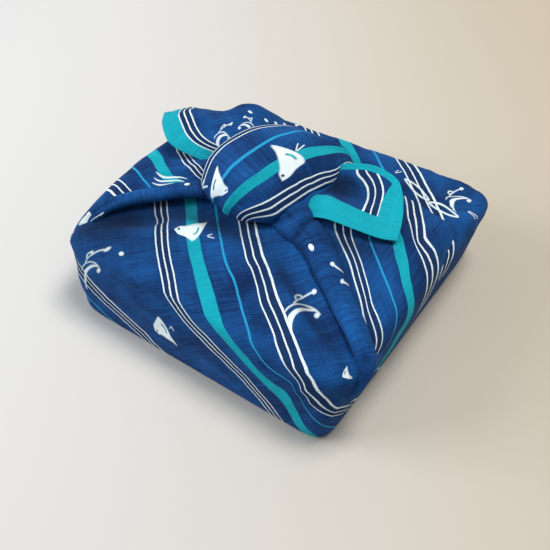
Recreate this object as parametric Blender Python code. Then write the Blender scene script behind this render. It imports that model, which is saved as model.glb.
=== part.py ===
"""A square cotton wrapping cloth tied round a flat box: parcel, two tied ends, pleat, knot and two tails.

X runs along the front edge of the parcel, Y from its front to its back, Z up. The origin is on the
surface it stands on, under the middle of the parcel. The whole wrap is one cloth, so it is one solid:
each main fold is modelled as a closed form, and Boolean unions join them to the parcel.
Tables are in millimetres; the meshes are in metres.
"""

import math

import bpy
import numpy as np

MM = 0.001

# Driving dimensions, in millimetres.
PARCEL_HEIGHT = 50.0
FOOT_HEIGHT = 4.0
SEAT_INSET = 0.965
SHEET_THICK = 2.2
CREASE_FLOOR = 44.0

# Mesh densities.
PARCEL_AROUND = 96
CORNER_CROWDING = 0.17
END_AROUND = 34
ROLL_AROUND = 22
STEPS_PER_ROW = 3

# How square the sections are: 1 is a round one, and less is flatter with fuller edges.
END_SPREAD, END_FLATNESS = 0.8, 0.55
ROLL_SPREAD, ROLL_FLATNESS = 0.9, 0.85
# How far the underside of a tied end sinks into the cloth below, as a share of its depth.
END_SINK = 0.5

# Each corner of the parcel: its place at the foot and at the brow, where the wall turns into the top.
CORNERS = (
    # name, foot x, foot y, brow x, brow y
    ("left", -91.0, -93.0, -107.0, -87.0),
    ("front", 87.0, -92.0, 94.0, -88.0),
    ("right", 92.0, 92.0, 100.0, 100.0),
    ("back", -91.0, 90.0, -99.0, 87.0),
)

# The parcel from the middle of its underside to the middle of its top, a row for each level.
LEVELS = (
    # height, reach from the axis, share of the way from foot to brow, squareness of the outline
    (0.0, SEAT_INSET, 0.0, 18.0),
    (1.0, 0.988, 0.0, 18.0),
    (FOOT_HEIGHT, 1.0, 0.05, 18.0),
    (16.0, 1.005, 0.20, 16.0),
    (30.0, 1.005, 0.50, 14.0),
    (39.0, 1.0, 0.88, 12.0),
    (44.5, 0.99, 1.0, 11.0),
    (48.2, 0.96, 1.0, 10.0),
    (PARCEL_HEIGHT, 0.90, 1.0, 8.0),
    (PARCEL_HEIGHT + 1.0, 0.74, 1.0, 6.0),
    (PARCEL_HEIGHT + 1.6, 0.50, 1.0, 5.0),
    (PARCEL_HEIGHT + 4.0, 0.24, 1.0, 4.0),
)

# Soft ridges and troughs in the parcel's top and walls, each along a straight line.
CREASES = (
    # name, from x, y, to x, y, half width, height
    ("left corner ridge", -100.0, -80.0, -50.0, -52.0, 9.0, 1.6),
    ("left corner trough", -96.0, -62.0, -45.0, -36.0, 8.0, -2.0),
    ("front panel sag", -40.0, -66.0, 20.0, -60.0, 22.0, -1.4),
    ("front corner ridge", 92.0, -84.0, 44.0, -58.0, 8.0, 1.6),
    ("right corner hollow", 70.0, 84.0, 98.0, 74.0, 9.0, -3.0),
    ("back panel ridge", -10.0, 78.0, 70.0, 72.0, 10.0, 1.6),
    ("back corner ridge", -92.0, 86.0, -40.0, 52.0, 10.0, 2.0),
)

# The tied ends, from the foot of the wall, over its brow, to the knot. Crown is how far the middle
# of a section stands out past its two edges, and depth how thick the gathered cloth is there.
LEFT_END = (
    # front x, y, z, back x, y, z, crown, depth
    (-87.0, -80.0, 2.0, -87.0, 80.0, 2.0, 1.5, 6.0),
    (-94.0, -80.0, 22.0, -90.0, 80.0, 22.0, 3.0, 8.0),
    (-103.0, -77.0, 40.0, -94.0, 78.0, 40.0, 3.0, 9.0),
    (-99.0, -63.0, 51.5, -92.0, 72.0, 50.0, 5.0, 9.0),
    (-87.0, -45.0, 54.0, -80.0, 64.0, 52.5, 5.5, 8.0),
    (-75.0, -33.0, 55.0, -66.0, 52.0, 53.5, 6.5, 8.0),
    (-64.0, -21.0, 55.5, -53.0, 42.0, 54.5, 7.5, 9.0),
    (-50.0, -12.0, 55.5, -40.0, 34.0, 55.0, 7.0, 10.0),
    (-30.0, -8.0, 55.0, -22.0, 30.0, 55.0, 5.0, 11.0),
)
RIGHT_END = (
    (83.0, -76.0, 2.0, 85.0, 74.0, 2.0, 1.5, 6.0),
    (86.0, -76.0, 22.0, 88.0, 72.0, 22.0, 3.0, 7.0),
    (89.0, -70.0, 40.0, 89.0, 62.0, 40.0, 4.0, 7.0),
    (88.0, -60.0, 48.5, 87.0, 54.0, 48.5, 3.5, 7.0),
    (76.0, -49.0, 51.5, 78.0, 53.0, 50.5, 3.0, 6.0),
    (58.0, -34.0, 52.0, 60.0, 56.0, 51.5, 2.5, 6.0),
    (40.0, -17.0, 52.5, 38.0, 58.0, 52.5, 1.5, 6.5),
    (22.0, -3.0, 53.0, 16.0, 54.0, 53.0, 1.5, 8.0),
    (4.0, 6.0, 54.0, -4.0, 40.0, 54.0, 5.0, 9.0),
)
# The loop of the knot, from its front to its back, with the columns of a tied end.
KNOT_BAND = (
    # left x, y, z, right x, y, z, crown, depth
    (-50.5, -6.5, 53.5, -16.0, -12.5, 50.0, 1.0, 3.0),
    (-52.5, -11.0, 62.5, -10.4, -17.6, 57.2, 4.0, 5.0),
    (-58.0, 4.5, 68.0, 1.3, -12.5, 60.3, 9.0, 10.0),
    (-58.5, 23.5, 68.8, 4.0, -1.4, 60.3, 9.0, 12.0),
    (-52.5, 42.5, 68.8, 6.5, 11.2, 60.3, 8.7, 12.0),
    (-38.0, 57.0, 67.0, 10.0, 25.3, 60.0, 7.4, 10.0),
    (-20.0, 65.0, 62.0, 13.0, 39.2, 59.7, 6.0, 8.0),
    (-5.5, 67.5, 58.0, 12.5, 53.0, 57.0, 4.0, 6.0),
    (1.5, 70.0, 51.0, 12.5, 60.5, 51.0, 2.0, 5.0),
)

# Rolls of cloth along a path: the middle of the top of each section, and its half sizes across and
# through the roll. The across direction is level and square to the path.
PLEAT_STRIP = (
    # x, y, top z, half width, half thickness
    (88.0, -74.0, 34.0, 4.5, 3.5),
    (92.5, -69.0, 45.5, 5.0, 4.0),
    (91.5, -61.5, 53.5, 5.6, 4.2),
    (81.0, -52.0, 56.5, 6.2, 4.2),
    (64.0, -38.0, 57.2, 7.2, 4.2),
    (46.0, -23.5, 58.0, 8.4, 4.5),
    (30.0, -10.5, 59.5, 10.0, 5.0),
    (16.0, -4.0, 61.0, 12.5, 6.0),
    (3.0, 2.0, 62.0, 14.0, 7.0),
    (-9.0, 8.0, 62.0, 13.0, 7.0),
)
LEFT_PLEAT = (
    (-98.0, -74.0, 38.0, 4.0, 3.0),
    (-99.5, -65.0, 48.8, 4.5, 3.2),
    (-95.0, -53.0, 55.8, 5.0, 3.4),
    (-85.0, -41.0, 58.8, 5.5, 3.5),
    (-74.0, -30.0, 60.4, 6.0, 3.6),
    (-63.0, -19.0, 61.6, 6.8, 4.0),
    (-50.0, -9.0, 62.5, 8.0, 5.0),
    (-36.0, -2.0, 62.0, 9.0, 6.0),
)

# The tails are single sheets, given by points across each section.
LEFT_TAIL = (
    # near edge, near side, brow, far side
    ((-57.0, 5.0, 63.0), (-82.5, -1.0, 70.5), (-98.0, 8.0, 73.5), (-107.0, 20.0, 73.0)),
    ((-55.0, 8.0, 64.0), (-70.0, 13.0, 73.0), (-90.0, 25.0, 77.0), (-97.0, 36.0, 72.0)),
    ((-48.0, 16.0, 65.0), (-60.0, 25.0, 74.0), (-74.0, 38.0, 75.0), (-78.0, 50.0, 68.0)),
    ((-38.0, 26.0, 64.0), (-50.0, 38.0, 74.0), (-62.0, 53.0, 78.0), (-62.0, 65.0, 68.5)),
    ((-22.0, 34.0, 60.0), (-32.0, 46.0, 68.0), (-40.0, 58.0, 70.0), (-38.0, 70.0, 60.0)),
    ((-8.0, 40.0, 55.0), (-12.0, 50.0, 60.0), (-18.0, 58.0, 61.0), (-16.0, 66.0, 55.0)),
)
RIGHT_TAIL = (
    # near edge, near rim, hollow, far edge
    ((8.0, 4.0, 53.0), (6.0, 16.0, 59.0), (4.0, 30.0, 57.0), (2.0, 46.0, 60.0)),
    ((26.0, 4.0, 61.2), (22.0, 16.0, 65.0), (18.0, 32.0, 59.5), (17.0, 51.0, 66.0)),
    ((44.0, 5.0, 62.0), (41.0, 17.0, 63.0), (34.0, 34.0, 59.5), (31.0, 57.0, 66.0)),
    ((60.0, 8.0, 60.5), (56.0, 20.0, 61.0), (50.0, 34.0, 60.0), (47.0, 55.0, 64.0)),
    ((69.0, 13.0, 59.0), (66.5, 22.0, 60.0), (62.0, 34.0, 60.5), (56.0, 45.0, 61.0)),
)


def smooth_rows(rows, steps):
    """Catmull-Rom curve through the rows, with the given number of steps between neighbours."""
    rows = np.asarray(rows, float)
    padded = np.concatenate([2 * rows[:1] - rows[1:2], rows, 2 * rows[-1:] - rows[-2:-1]])
    t = np.arange(steps)[:, None] / steps
    t = t.reshape((steps,) + (1,) * (rows.ndim - 1))
    parts = []
    for before, start, end, after in zip(padded, padded[1:], padded[2:], padded[3:]):
        slope_in, slope_out = (end - before) / 2, (after - start) / 2
        parts.append(
            (2 * t**3 - 3 * t**2 + 1) * start
            + (t**3 - 2 * t**2 + t) * slope_in
            + (3 * t**2 - 2 * t**3) * end
            + (t**3 - t**2) * slope_out
        )
    parts.append(rows[-1:])
    return np.concatenate(parts)


def signed_power(value, power):
    """The power of the size of a value, with its sign kept."""
    return np.sign(value) * np.abs(value) ** power


def unit(vectors):
    """The vectors at length 1."""
    return vectors / np.maximum(np.linalg.norm(vectors, axis=-1, keepdims=True), 1e-9)


def parcel_ring(height, reach, share, squareness):
    """One level of the parcel: a rounded square, stretched to the four corners at that height."""
    turn = 2 * math.pi * np.arange(PARCEL_AROUND) / PARCEL_AROUND
    # The steps are shorter near the four corners, where the outline turns.
    turn += CORNER_CROWDING * np.sin(4 * turn)
    across, along = np.cos(turn), np.sin(turn)
    size = (np.abs(across) ** squareness + np.abs(along) ** squareness) ** (1 / squareness)
    a, b = reach * across / size, reach * along / size
    weights = {
        "left": (1 - a) * (1 - b),
        "front": (1 + a) * (1 - b),
        "right": (1 + a) * (1 + b),
        "back": (1 - a) * (1 + b),
    }
    x, y = np.zeros_like(a), np.zeros_like(a)
    for name, foot_x, foot_y, brow_x, brow_y in CORNERS:
        x += weights[name] / 4 * (foot_x + share * (brow_x - foot_x))
        y += weights[name] / 4 * (foot_y + share * (brow_y - foot_y))
    return np.stack([x, y, np.full_like(x, height)], axis=1)


def crease_height(points):
    """Height that the creases add at each point: a bell across each line, faded past its ends."""
    added = np.zeros(len(points))
    for _, from_x, from_y, to_x, to_y, half_width, height in CREASES:
        start, end = np.array([from_x, from_y]), np.array([to_x, to_y])
        run = end - start
        share = np.clip((points[:, :2] - start) @ run / (run @ run), 0, 1)
        gap = np.linalg.norm(points[:, :2] - start - share[:, None] * run, axis=1)
        added += height * np.exp(-((gap / half_width) ** 2)) * (0.35 + 0.65 * np.sin(math.pi * share))
    return added


def mesh_object(name, points, faces):
    """A new object in the scene, from points in millimetres."""
    mesh = bpy.data.meshes.new(name)
    mesh.from_pydata([tuple(p) for p in np.asarray(points) * MM], [], faces)
    mesh.validate()
    mesh.update()
    mesh.shade_smooth()
    piece = bpy.data.objects.new(name, mesh)
    bpy.context.collection.objects.link(piece)
    return piece


def closed_loft(name, rings, sheet=False):
    """Rings of equal length joined by quads, and capped: flat, or for a sheet from face to face."""
    rings = np.asarray(rings)
    count, around = rings.shape[:2]
    faces = []
    for i in range(count - 1):
        for j in range(around):
            k = (j + 1) % around
            faces.append((i * around + j, i * around + k, (i + 1) * around + k, (i + 1) * around + j))
    start = tuple(reversed(range(around)))
    end = tuple((count - 1) * around + j for j in range(around))
    for cap in (start, end):
        if sheet:
            faces += [(cap[j], cap[j + 1], cap[-j - 2], cap[-j - 1]) for j in range(around // 2 - 1)]
        else:
            faces.append(cap)
    return mesh_object(name, rings.reshape(-1, 3), faces)


def faces_out(piece):
    """Turns a closed mesh right side out, by the sign of its volume."""
    mesh = piece.data
    mesh.calc_loop_triangles()
    corners = np.array([[mesh.vertices[v].co for v in t.vertices] for t in mesh.loop_triangles])
    volume = np.einsum("ij,ij->i", corners[:, 0], np.cross(corners[:, 1], corners[:, 2])).sum()
    if volume < 0:
        mesh.flip_normals()
    return piece


def parcel():
    """The wrapped box: levels from the flat underside up the walls to the crowned, creased top."""
    rings = np.stack([parcel_ring(*level) for level in LEVELS])
    above = rings[:, :, 2] > CREASE_FLOOR
    rings[above, 2] += crease_height(rings[above])
    return faces_out(closed_loft("furoshiki_cloth", rings))


def tied_end(name, rows):
    """A gathered end: each section is a flat rounded loop between its front and back fold edges."""
    rows = smooth_rows(rows, STEPS_PER_ROW)
    front, back = rows[:, 0:3], rows[:, 3:6]
    crown, depth = rows[:, 6], rows[:, 7]
    middle = (front + back) / 2
    along = unit(np.gradient(middle, axis=0))
    across = unit(back - front)
    outward = unit(np.cross(across, along))
    outward *= np.sign(outward[len(rows) // 2, 2])
    turn = 2 * math.pi * np.arange(END_AROUND) / END_AROUND
    s = signed_power(np.cos(turn), END_SPREAD)
    rise = signed_power(np.sin(turn), END_FLATNESS)
    below = np.minimum(rise, 0)
    out = crown[:, None] * (1 - s**2) * (1 + below) + depth[:, None] * (rise / 2 + END_SINK * below)
    rings = (
        middle[:, None]
        + s[None, :, None] * ((back - front) / 2)[:, None]
        + out[:, :, None] * outward[:, None]
    )
    return faces_out(closed_loft(name, rings))


def roll(name, rows):
    """A roll of cloth along a path, with rounded, flattened sections."""
    rows = smooth_rows(rows, STEPS_PER_ROW)
    half_width, half_thick = rows[:, 3], rows[:, 4]
    centre = rows[:, 0:3] - half_thick[:, None] * np.array([0.0, 0.0, 1.0])
    along = unit(np.gradient(centre, axis=0))
    across = unit(np.cross(along, [0.0, 0.0, 1.0]))
    through = unit(np.cross(across, along))
    turn = 2 * math.pi * np.arange(ROLL_AROUND) / ROLL_AROUND
    s = signed_power(np.cos(turn), ROLL_SPREAD)
    rise = signed_power(np.sin(turn), ROLL_FLATNESS)
    rings = (
        centre[:, None]
        + (half_width[:, None] * s)[:, :, None] * across[:, None]
        + (half_thick[:, None] * rise)[:, :, None] * through[:, None]
    )
    return faces_out(closed_loft(name, rings))


def tail(name, rows):
    """A single sheet through the sections, given its thickness along its own normals."""
    grid = smooth_rows(rows, STEPS_PER_ROW)
    grid = np.swapaxes(smooth_rows(np.swapaxes(grid, 0, 1), STEPS_PER_ROW), 0, 1)
    normal = unit(np.cross(np.gradient(grid, axis=0), np.gradient(grid, axis=1)))
    upper, lower = grid + normal * SHEET_THICK / 2, grid - normal * SHEET_THICK / 2
    rings = np.concatenate([upper, lower[:, ::-1]], axis=1)
    return faces_out(closed_loft(name, rings, sheet=True))


def joined(base, others):
    """Unions each other form into the base; the forms stay in the file as hidden operands.

    A form may fold through itself on the inside of a bend, so the unions allow for that.
    """
    for other in others:
        union = base.modifiers.new(other.name, "BOOLEAN")
        union.operation = "UNION"
        union.solver = "EXACT"
        union.use_self = True
        union.object = other
        other.hide_render = True
        other.display_type = "WIRE"
    return base


def cotton(name, colour, roughness):
    """A dull woven cotton."""
    material = bpy.data.materials.new(name)
    material.use_nodes = True
    shader = material.node_tree.nodes["Principled BSDF"]
    shader.inputs["Base Color"].default_value = (*colour, 1.0)
    shader.inputs["Roughness"].default_value = roughness
    shader.inputs["Metallic"].default_value = 0.0
    return material


def main():
    for old in list(bpy.data.objects):
        bpy.data.objects.remove(old, do_unlink=True)
    cloth = parcel()
    joined(
        cloth,
        [
            tied_end("left_end_form", LEFT_END),
            tied_end("right_end_form", RIGHT_END),
            roll("left_pleat_form", LEFT_PLEAT),
            roll("pleat_strip_form", PLEAT_STRIP),
            tied_end("knot_band_form", KNOT_BAND),
            tail("left_tail_form", LEFT_TAIL),
            tail("right_tail_form", RIGHT_TAIL),
        ],
    )
    cloth.data.materials.append(cotton("indigo_cotton", (0.012, 0.050, 0.190), 0.85))


main()
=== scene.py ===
"""Finished look of a wrapping cloth: one printed indigo cotton square tied round a flat box.

X runs along the parcel's front edge, Y from its front to its back, Z up. Tables are in millimetres.
Every visible fold of the cloth is a sheet of its own, laid on the form of the frame's one solid, and
all of them share one printed cotton. A row number counts along a table from 0, and a section place
runs from -1 on the front or near fold to 1 on the back or far fold.
"""

import logging
import math
from collections.abc import Callable
from dataclasses import dataclass
from enum import Enum

import bpy
import numpy as np
from mathutils import Matrix, Vector


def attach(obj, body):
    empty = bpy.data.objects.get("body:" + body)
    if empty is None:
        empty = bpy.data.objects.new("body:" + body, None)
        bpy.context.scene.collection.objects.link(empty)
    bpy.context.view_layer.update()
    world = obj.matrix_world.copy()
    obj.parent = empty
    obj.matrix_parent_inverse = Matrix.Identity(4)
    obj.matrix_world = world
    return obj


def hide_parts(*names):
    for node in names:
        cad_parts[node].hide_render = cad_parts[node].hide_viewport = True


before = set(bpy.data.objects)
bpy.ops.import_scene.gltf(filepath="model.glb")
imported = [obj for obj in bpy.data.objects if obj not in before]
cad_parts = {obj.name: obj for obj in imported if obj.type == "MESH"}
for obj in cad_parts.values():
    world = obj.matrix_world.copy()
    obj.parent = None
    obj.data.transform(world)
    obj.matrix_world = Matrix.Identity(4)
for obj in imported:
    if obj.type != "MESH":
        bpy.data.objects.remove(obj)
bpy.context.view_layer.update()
LOG = logging.getLogger("wrap")

MM = 0.001
NODE, BODY, SLOT = "furoshiki_cloth", "root", "cloth"
UP = np.array([0.0, 0.0, 1.0])
# The print's repeat over the stripes, the width of the hem's band, and a place far from any hem.
REPEAT, HEM_BAND, NO_HEM = 121.0, 12.0, 500.0
# How near a face lies to the figure that it holds, and the place of one that holds none.
FIGURE_REACH, FAR_OFF = 1.7, 9.0
# The attribute of painted shade that darkens the cloth's colour down in its folds, from 0 to 1, and its most.
SHADE_ATTRIBUTE, DARKEST_SHADE = "painted_fold_shade", 0.85

Point = tuple[float, float, float]
Colour = tuple[float, float, float, float]
# Ridges, or with a negative height troughs. Columns: start x, y, z, end x, y, z, half width, height.
# In a table of painted fold shade the last column is how much the colour is darkened, from 0 to 1.
Creases = tuple[tuple[float, ...], ...]
# Folds down a gathered sheet. Columns: first row, last row, first place, last place, half width, height.
Folds = tuple[tuple[float, ...], ...]


class Ink(Enum):
    """The print's colours, as linear red, green and blue, and its opacity."""

    NONE = (0.0, 0.0, 0.0, 0.0)
    PALE = (0.76, 0.87, 0.90, 1.0)
    TEAL = (0.004, 0.360, 0.450, 1.0)
    CYAN = (0.015, 0.300, 0.560, 1.0)
    DEEP = (0.005, 0.026, 0.095, 1.0)


class Hold(Enum):
    """How a sheet of the cloth is held."""

    FOLDED = "folded"
    DRAPED = "draped"
    GATHERED = "gathered"


class Figure(Enum):
    """The small figures of the print."""

    BIRD = 1
    WAVE = 2
    DOT = 3
    SPRIG = 4
    LEAVES = 5
    DROP = 6
    RIPPLES = 7


# Where each ink starts across the repeat.
STRIPES = (
    (2.0, Ink.PALE), (3.2, Ink.DEEP), (5.8, Ink.PALE), (7.0, Ink.DEEP), (9.5, Ink.PALE), (10.7, Ink.NONE),
    (22.0, Ink.TEAL), (29.6, Ink.NONE), (41.0, Ink.CYAN), (42.3, Ink.NONE),
    (54.0, Ink.PALE), (55.3, Ink.DEEP), (58.7, Ink.PALE), (60.0, Ink.DEEP), (63.5, Ink.PALE),
    (64.8, Ink.NONE),
)


@dataclass(frozen=True)
class Motif:
    """A figure's place on a sheet.

    Across and along are its middle, turn the way it points in degrees and size its half length. The
    cloth is pulled out of square in places, so its height is a share of its size, and its upright
    leans by some degrees.
    """

    figure: Figure
    across: float
    along: float
    turn: float = 0.0
    size: float = 1.3
    height: float = 1.0
    lean: float = 0.0
    mirrored: bool = False

    def local(self, across: np.ndarray, along: np.ndarray) -> np.ndarray:
        """Places measured along the figure's own right and upright, in its half lengths.

        Args:
            across: Millimetres over the stripes.
            along: Millimetres down the stripes.

        Returns:
            The share to its right and the share up, side by side.
        """
        turn, lean = math.radians(self.turn), math.radians(self.lean)
        up = turn + lean + math.radians(-90 if self.mirrored else 90)
        right = np.array([math.cos(turn), math.sin(turn)]) * self.size
        rise = np.array([math.cos(up), math.sin(up)]) * self.size * self.height
        du, dv = across - self.across, along - self.along
        shares = np.stack([du * rise[1] - dv * rise[0], right[0] * dv - right[1] * du], -1)
        return shares / (right[0] * rise[1] - right[1] * rise[0])


def smooth_rows(rows: np.ndarray, steps: int) -> np.ndarray:
    """Catmull-Rom curve through the rows.

    Args:
        rows: Values to pass through, the first axis running along the curve.
        steps: Steps between neighbouring rows.

    Returns:
        The rows with steps - 1 new ones between each two.
    """
    rows = np.asarray(rows, float)
    padded = np.concatenate([2 * rows[:1] - rows[1:2], rows, 2 * rows[-1:] - rows[-2:-1]])
    t = (np.arange(steps) / steps).reshape((1, steps) + (1,) * (rows.ndim - 1))
    before, start, end, after = (padded[i : i + len(rows) - 1, None] for i in range(4))
    curve = (
        (2 * t**3 - 3 * t**2 + 1) * start
        + (t**3 - 2 * t**2 + t) * (end - before) / 2
        + (3 * t**2 - 2 * t**3) * end
        + (t**3 - t**2) * (after - start) / 2
    )
    return np.concatenate([curve.reshape((-1,) + rows.shape[1:]), rows[-1:]])


def signed_power(value: np.ndarray, power: float) -> np.ndarray:
    """The power of the size of a value, with its sign kept."""
    return np.sign(value) * np.abs(value) ** power


def unit(vectors: np.ndarray) -> np.ndarray:
    """The vectors at length 1."""
    return vectors / np.maximum(np.linalg.norm(vectors, axis=-1, keepdims=True), 1e-9)


def bell(gap: np.ndarray, half_width: float) -> np.ndarray:
    """1 at no gap, falling off as the exponential of minus the squared gap over the half width."""
    return np.exp(-((gap / half_width) ** 2))


def ease(value: np.ndarray, low: float, high: float) -> np.ndarray:
    """0 below low and 1 above high, with 3x^2 - 2x^3 between."""
    x = np.clip((value - low) / (high - low), 0, 1)
    return x * x * (3 - 2 * x)


def run_of(points: np.ndarray) -> np.ndarray:
    """The length run down the first axis, up to each point."""
    lengths = np.linalg.norm(np.diff(points, axis=0), axis=-1)
    return np.concatenate([0 * lengths[:1], np.cumsum(lengths, axis=0)])


def wander(a: np.ndarray, b: np.ndarray, size: float, seed: int) -> np.ndarray:
    """An uneven soft field between about -1 and 1: nine plane waves in seeded directions, summed.

    Args:
        a: First coordinate.
        b: Second coordinate.
        size: Wave length of the middle wave.
        seed: Picks the directions and phases.

    Returns:
        The field at each place.
    """
    draw = np.random.default_rng(seed)
    total = np.zeros(np.broadcast(a, b).shape)
    waves = 9
    for _ in range(waves):
        heading, phase = draw.uniform(0, math.pi), draw.uniform(0, 2 * math.pi)
        pace = 2 * math.pi / (size * draw.uniform(0.6, 1.6))
        total += np.sin(pace * (a * math.cos(heading) + b * math.sin(heading)) + phase)
    return total / (waves / 2)


def crease_lift(points: np.ndarray, creases: Creases) -> np.ndarray:
    """How far creases lift each point: a bell across each line, strongest at its middle.

    Args:
        points: Rows by columns by 3.
        creases: The ridges and troughs.

    Returns:
        The lift at each point, in millimetres.
    """
    lift, at_ends = np.zeros(points.shape[:2]), 0.35
    for crease in creases:
        start, end, (half_width, height) = np.split(np.array(crease, float), (3, 6))
        run = end - start
        share = np.clip((points - start) @ run / (run @ run), 0, 1)
        gap = np.linalg.norm(points - start - share[..., None] * run, axis=-1)
        lift += height * bell(gap, half_width) * (at_ends + (1 - at_ends) * np.sin(math.pi * share))
    return lift


def plate(spots: np.ndarray, values: np.ndarray, a: np.ndarray, b: np.ndarray) -> np.ndarray:
    """Smooth sheet through values at spots: a thin plate spline, r^2 log r about each spot.

    Args:
        spots: Places of the values, one row of two numbers each.
        values: The values there.
        a: First coordinate of the places wanted.
        b: Second coordinate of the places wanted.

    Returns:
        The value at each place wanted.
    """

    def lift(gap_squared: np.ndarray) -> np.ndarray:
        """r^2 log r, from r squared."""
        return 0.5 * gap_squared * np.log(gap_squared + 1e-9)

    count, softness = len(spots), 1e-3
    near = ((spots[:, None] - spots[None]) ** 2).sum(-1)
    flat = np.column_stack([np.ones(count), spots])
    left = np.block([[lift(near) + softness * np.eye(count), flat], [flat.T, np.zeros((3, 3))]])
    weights = np.linalg.solve(left, np.concatenate([values, np.zeros(3)]))
    total = weights[count] + weights[count + 1] * a + weights[count + 2] * b
    for (x, y), weight in zip(spots, weights):
        total = total + weight * lift((a - x) ** 2 + (b - y) ** 2)
    return total


def normals_of(points: np.ndarray, ring: bool, inside: Point) -> np.ndarray:
    """Unit normals of a grid, facing away from a point inside.

    Args:
        points: Rows by columns by 3.
        ring: True where the last column meets the first.
        inside: The point that they face away from.

    Returns:
        Rows by columns by 3.
    """
    if ring:
        over = (np.roll(points, -1, axis=1) - np.roll(points, 1, axis=1)) / 2
    else:
        over = np.gradient(points, axis=1)
    normal = unit(np.cross(np.gradient(points, axis=0), over))
    return normal * np.sign((normal * (points - np.array(inside))).sum())


def add_node(tree: bpy.types.NodeTree, kind: str, inputs: dict, **settings: object) -> bpy.types.Node:
    """A new node with its settings and its inputs.

    Args:
        tree: The material's node tree.
        kind: The node's type, without its prefix.
        inputs: What to wire to it.
        **settings: The node's own settings.

    Returns:
        The node.
    """
    node = tree.nodes.new("ShaderNode" + kind)
    for name, value in settings.items():
        setattr(node, name, value)
    wire(node, inputs)
    return node


def wire(node: bpy.types.Node, inputs: dict) -> None:
    """Links each input that is given a socket, and sets any other to its value.

    Args:
        node: The node.
        inputs: Sockets or values, by the input's name or number.
    """
    for key, value in inputs.items():
        if isinstance(value, bpy.types.NodeSocket):
            node.id_data.links.new(value, node.inputs[key])
        else:
            node.inputs[key].default_value = value


def shaded(name: str) -> tuple[bpy.types.Material, bpy.types.Node]:
    """A new material and its shader."""
    material = bpy.data.materials.new(name)
    material.use_nodes = True
    return material, material.node_tree.nodes["Principled BSDF"]


@dataclass(frozen=True)
class Varying:
    """A number that varies over the cloth. Arithmetic on it adds Math nodes to its material."""

    socket: bpy.types.NodeSocket

    def node(self, operation: str, *others: "Varying | float", clamp: bool = False) -> "Varying":
        """A Math node on this number and the others.

        Args:
            operation: Blender's name for the operation.
            *others: Numbers or varying numbers for its other inputs.
            clamp: True to keep the result from 0 to 1.

        Returns:
            The node's result.
        """
        values = [value.socket if isinstance(value, Varying) else value for value in (self, *others)]
        tree, inputs = self.socket.id_data, dict(enumerate(values))
        return Varying(add_node(tree, "Math", inputs, operation=operation, use_clamp=clamp).outputs[0])

    def __add__(self, other: "Varying | float") -> "Varying":
        """The sum."""
        return self.node("ADD", other)

    def __sub__(self, other: "Varying | float") -> "Varying":
        """The difference."""
        return self.node("SUBTRACT", other)

    def __mul__(self, other: "Varying | float") -> "Varying":
        """The product."""
        return self.node("MULTIPLY", other)

    def rest(self) -> "Varying":
        """What is left of 1."""
        return self * -1.0 + 1.0

    def size(self) -> "Varying":
        """The number without its sign."""
        return self.node("ABSOLUTE")

    def hypot(self, other: "Varying") -> "Varying":
        """The root of the sum of the two squares."""
        return (self * self + other * other).node("SQRT")

    def joined(self, *others: "Varying") -> "Varying":
        """The greatest of this number and the others."""
        return others[0].joined(*others[1:]).node("MAXIMUM", self) if others else self

    def below(self, limit: "Varying | float", sharp: float = 12.0) -> "Varying":
        """1 where the number is below the limit and 0 above, with a soft step between."""
        return ((self - limit) * -sharp).node("ADD", 0.5, clamp=True)

    def above(self, limit: float) -> "Varying":
        """1 where the number is above the limit and 0 below, with a soft step between."""
        return (self * -1.0).below(-limit)

    def near(self, middle: float, reach: "Varying | float", sharp: float = 12.0) -> "Varying":
        """1 where the number is within reach of the middle and 0 elsewhere, with soft steps between."""
        return (self - middle).size().below(reach, sharp)

    def bump(self, middle: float, half_width: float) -> "Varying":
        """The exponential of minus the squared gap from the middle over the half width."""
        gap = (self - middle) * (1 / half_width)
        return (gap * gap * -1.0).node("EXPONENT")


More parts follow.
